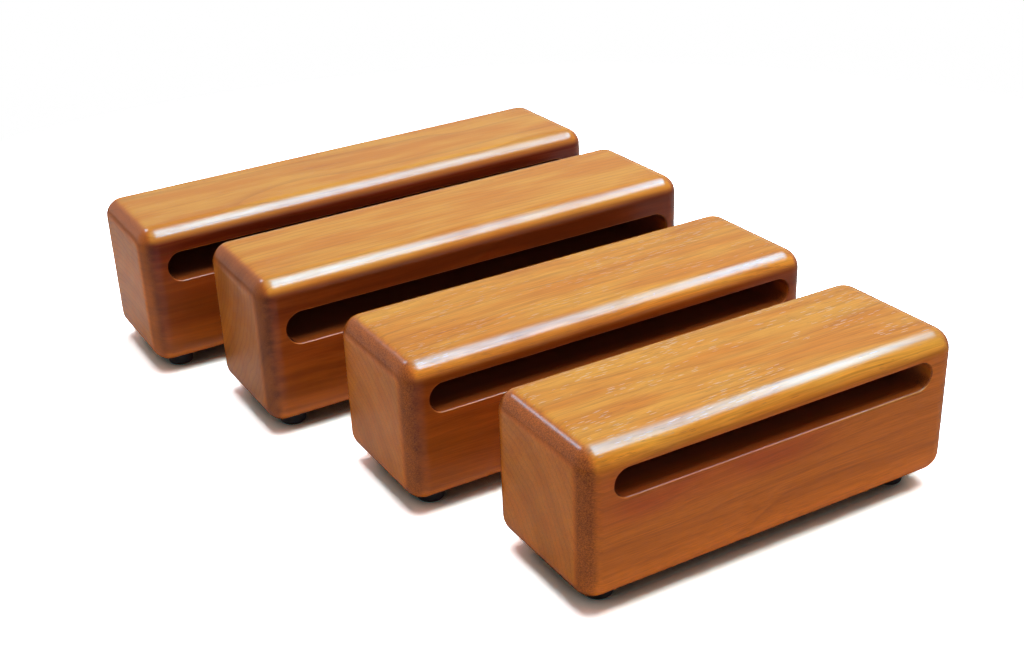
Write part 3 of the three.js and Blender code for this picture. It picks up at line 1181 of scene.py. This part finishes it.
class BuildStudio(bpy.types.Operator):
    """Builds the floor, the light and the camera"""

    bl_idname = "wood_blocks.build_studio"
    bl_label = "Studio"

    def execute(self, context):
        scene = context.scene
        studio = scene.block_studio
        scene.view_settings.view_transform = "Standard"
        scene.world = studio_room(studio.sky_level)

        half = studio.floor_size / 2
        mesh = bpy.data.meshes.new("Studio_floor")
        corners = [(-half, -half, 0), (half, -half, 0), (half, half, 0), (-half, half, 0)]
        mesh.from_pydata(corners, [], [(0, 1, 2, 3)])
        mesh.materials.append(floor_material())
        floor = add_object("Studio_floor", mesh)

        # A softbox lights the set. Its gloss comes from two lamps that only the lacquer shows
        add_lamp("Overhead_softbox", studio.softbox_power).visible_glossy = False
        for name, power in (("Overhead_sheen", studio.sheen_power), ("Rear_sheen", studio.rear_power)):
            sheen = add_lamp(name, power)
            sheen.visible_diffuse = False
            sheen.data.color = SHEEN_COLOUR
        soften(bpy.data.lights["Overhead_sheen"])

        camera = add_object("Camera", bpy.data.cameras.new("Camera"))
        camera.data.lens = studio.lens
        camera.data.shift_x, camera.data.shift_y = CAMERA_SHIFT
        camera.data.clip_start, camera.data.clip_end = CAMERA_CLIP
        camera.matrix_world = aimed(CAMERA_SPOT, *CAMERA_ANGLES)
        scene.camera = camera
        return {"FINISHED"}


def aimed(spot, azimuth, elevation, roll):
    """Matrix of a camera at a spot, looking along +Y at azimuth 0, with angles in degrees."""
    a, e, w = np.radians([azimuth, elevation, roll])
    back = np.array([np.sin(a) * np.cos(e), -np.cos(a) * np.cos(e), np.sin(e)])
    right = np.array([np.cos(a), np.sin(a), 0.0])
    up = np.cross(back, right)
    matrix = np.eye(4)
    matrix[:3, 0] = np.cos(w) * right + np.sin(w) * up
    matrix[:3, 1] = np.cos(w) * up - np.sin(w) * right
    matrix[:3, 2] = back
    matrix[:3, 3] = spot
    return Matrix(matrix.tolist())


def add_lamp(name, power):
    """One of the rectangular lamps, facing straight down and hidden from the camera."""
    spot, width, depth = LAMPS[name]
    lamp = bpy.data.lights.new(name, "AREA")
    lamp.shape = "RECTANGLE"
    lamp.size = width
    lamp.size_y = depth
    lamp.energy = power
    box = add_object(name, lamp)
    box.location = spot
    box.visible_camera = False
    return box


def soften(lamp):
    """Lets the sheen's brightness fall towards +X and towards both its ends in Y, as a softbox's does."""
    lamp.use_nodes = True
    tree = lamp.node_tree
    parts = split(tree, place(tree, "NewGeometry").outputs["Position"])
    fade = ramped(tree, parts[0], *RAMPS["sheen across"], way="LINEAR")
    away = maths(tree, "ABSOLUTE", maths(tree, "SUBTRACT", parts[1], SHEEN_MIDDLE))
    level = times(tree, fade, following(tree, "sheen along", away))
    tree.links.new(level, tree.nodes["Emission"].inputs["Strength"])


class BlocksPanel(bpy.types.Panel):
    """Lists the pieces of the set"""

    bl_idname = "VIEW3D_PT_wood_blocks"
    bl_label = "Wood blocks"
    bl_space_type = "VIEW_3D"
    bl_region_type = "UI"
    bl_category = "Wood blocks"

    def draw(self, context):
        for step in STEPS:
            self.layout.operator(step.bl_idname)
        for group in GROUPS:
            box = self.layout.box()
            settings = getattr(context.scene, group)
            for name in settings.__annotations__:
                box.prop(settings, name)


GROUPS = {
    "block_billets": BilletSizes,
    "block_fixings": FixingSizes,
    "block_colours": WoodColours,
    "block_studio": StudioSettings,
}
STEPS = (BuildBillets, BuildFeet, BuildWashers, BuildScrews, BuildStudio)
CLASSES = (*GROUPS.values(), *STEPS, BlocksPanel)


def register():
    for made in CLASSES:
        bpy.utils.register_class(made)
    for name, group in GROUPS.items():
        setattr(bpy.types.Scene, name, PointerProperty(type=group))


def unregister():
    for name in GROUPS:
        delattr(bpy.types.Scene, name)
    for made in reversed(CLASSES):
        bpy.utils.unregister_class(made)


def main():
    register()
    bpy.ops.wood_blocks.build_billets()
    bpy.ops.wood_blocks.build_feet()
    bpy.ops.wood_blocks.build_washers()
    bpy.ops.wood_blocks.build_screws()
    bpy.ops.wood_blocks.build_studio()


if __name__ == "__main__":
    main()
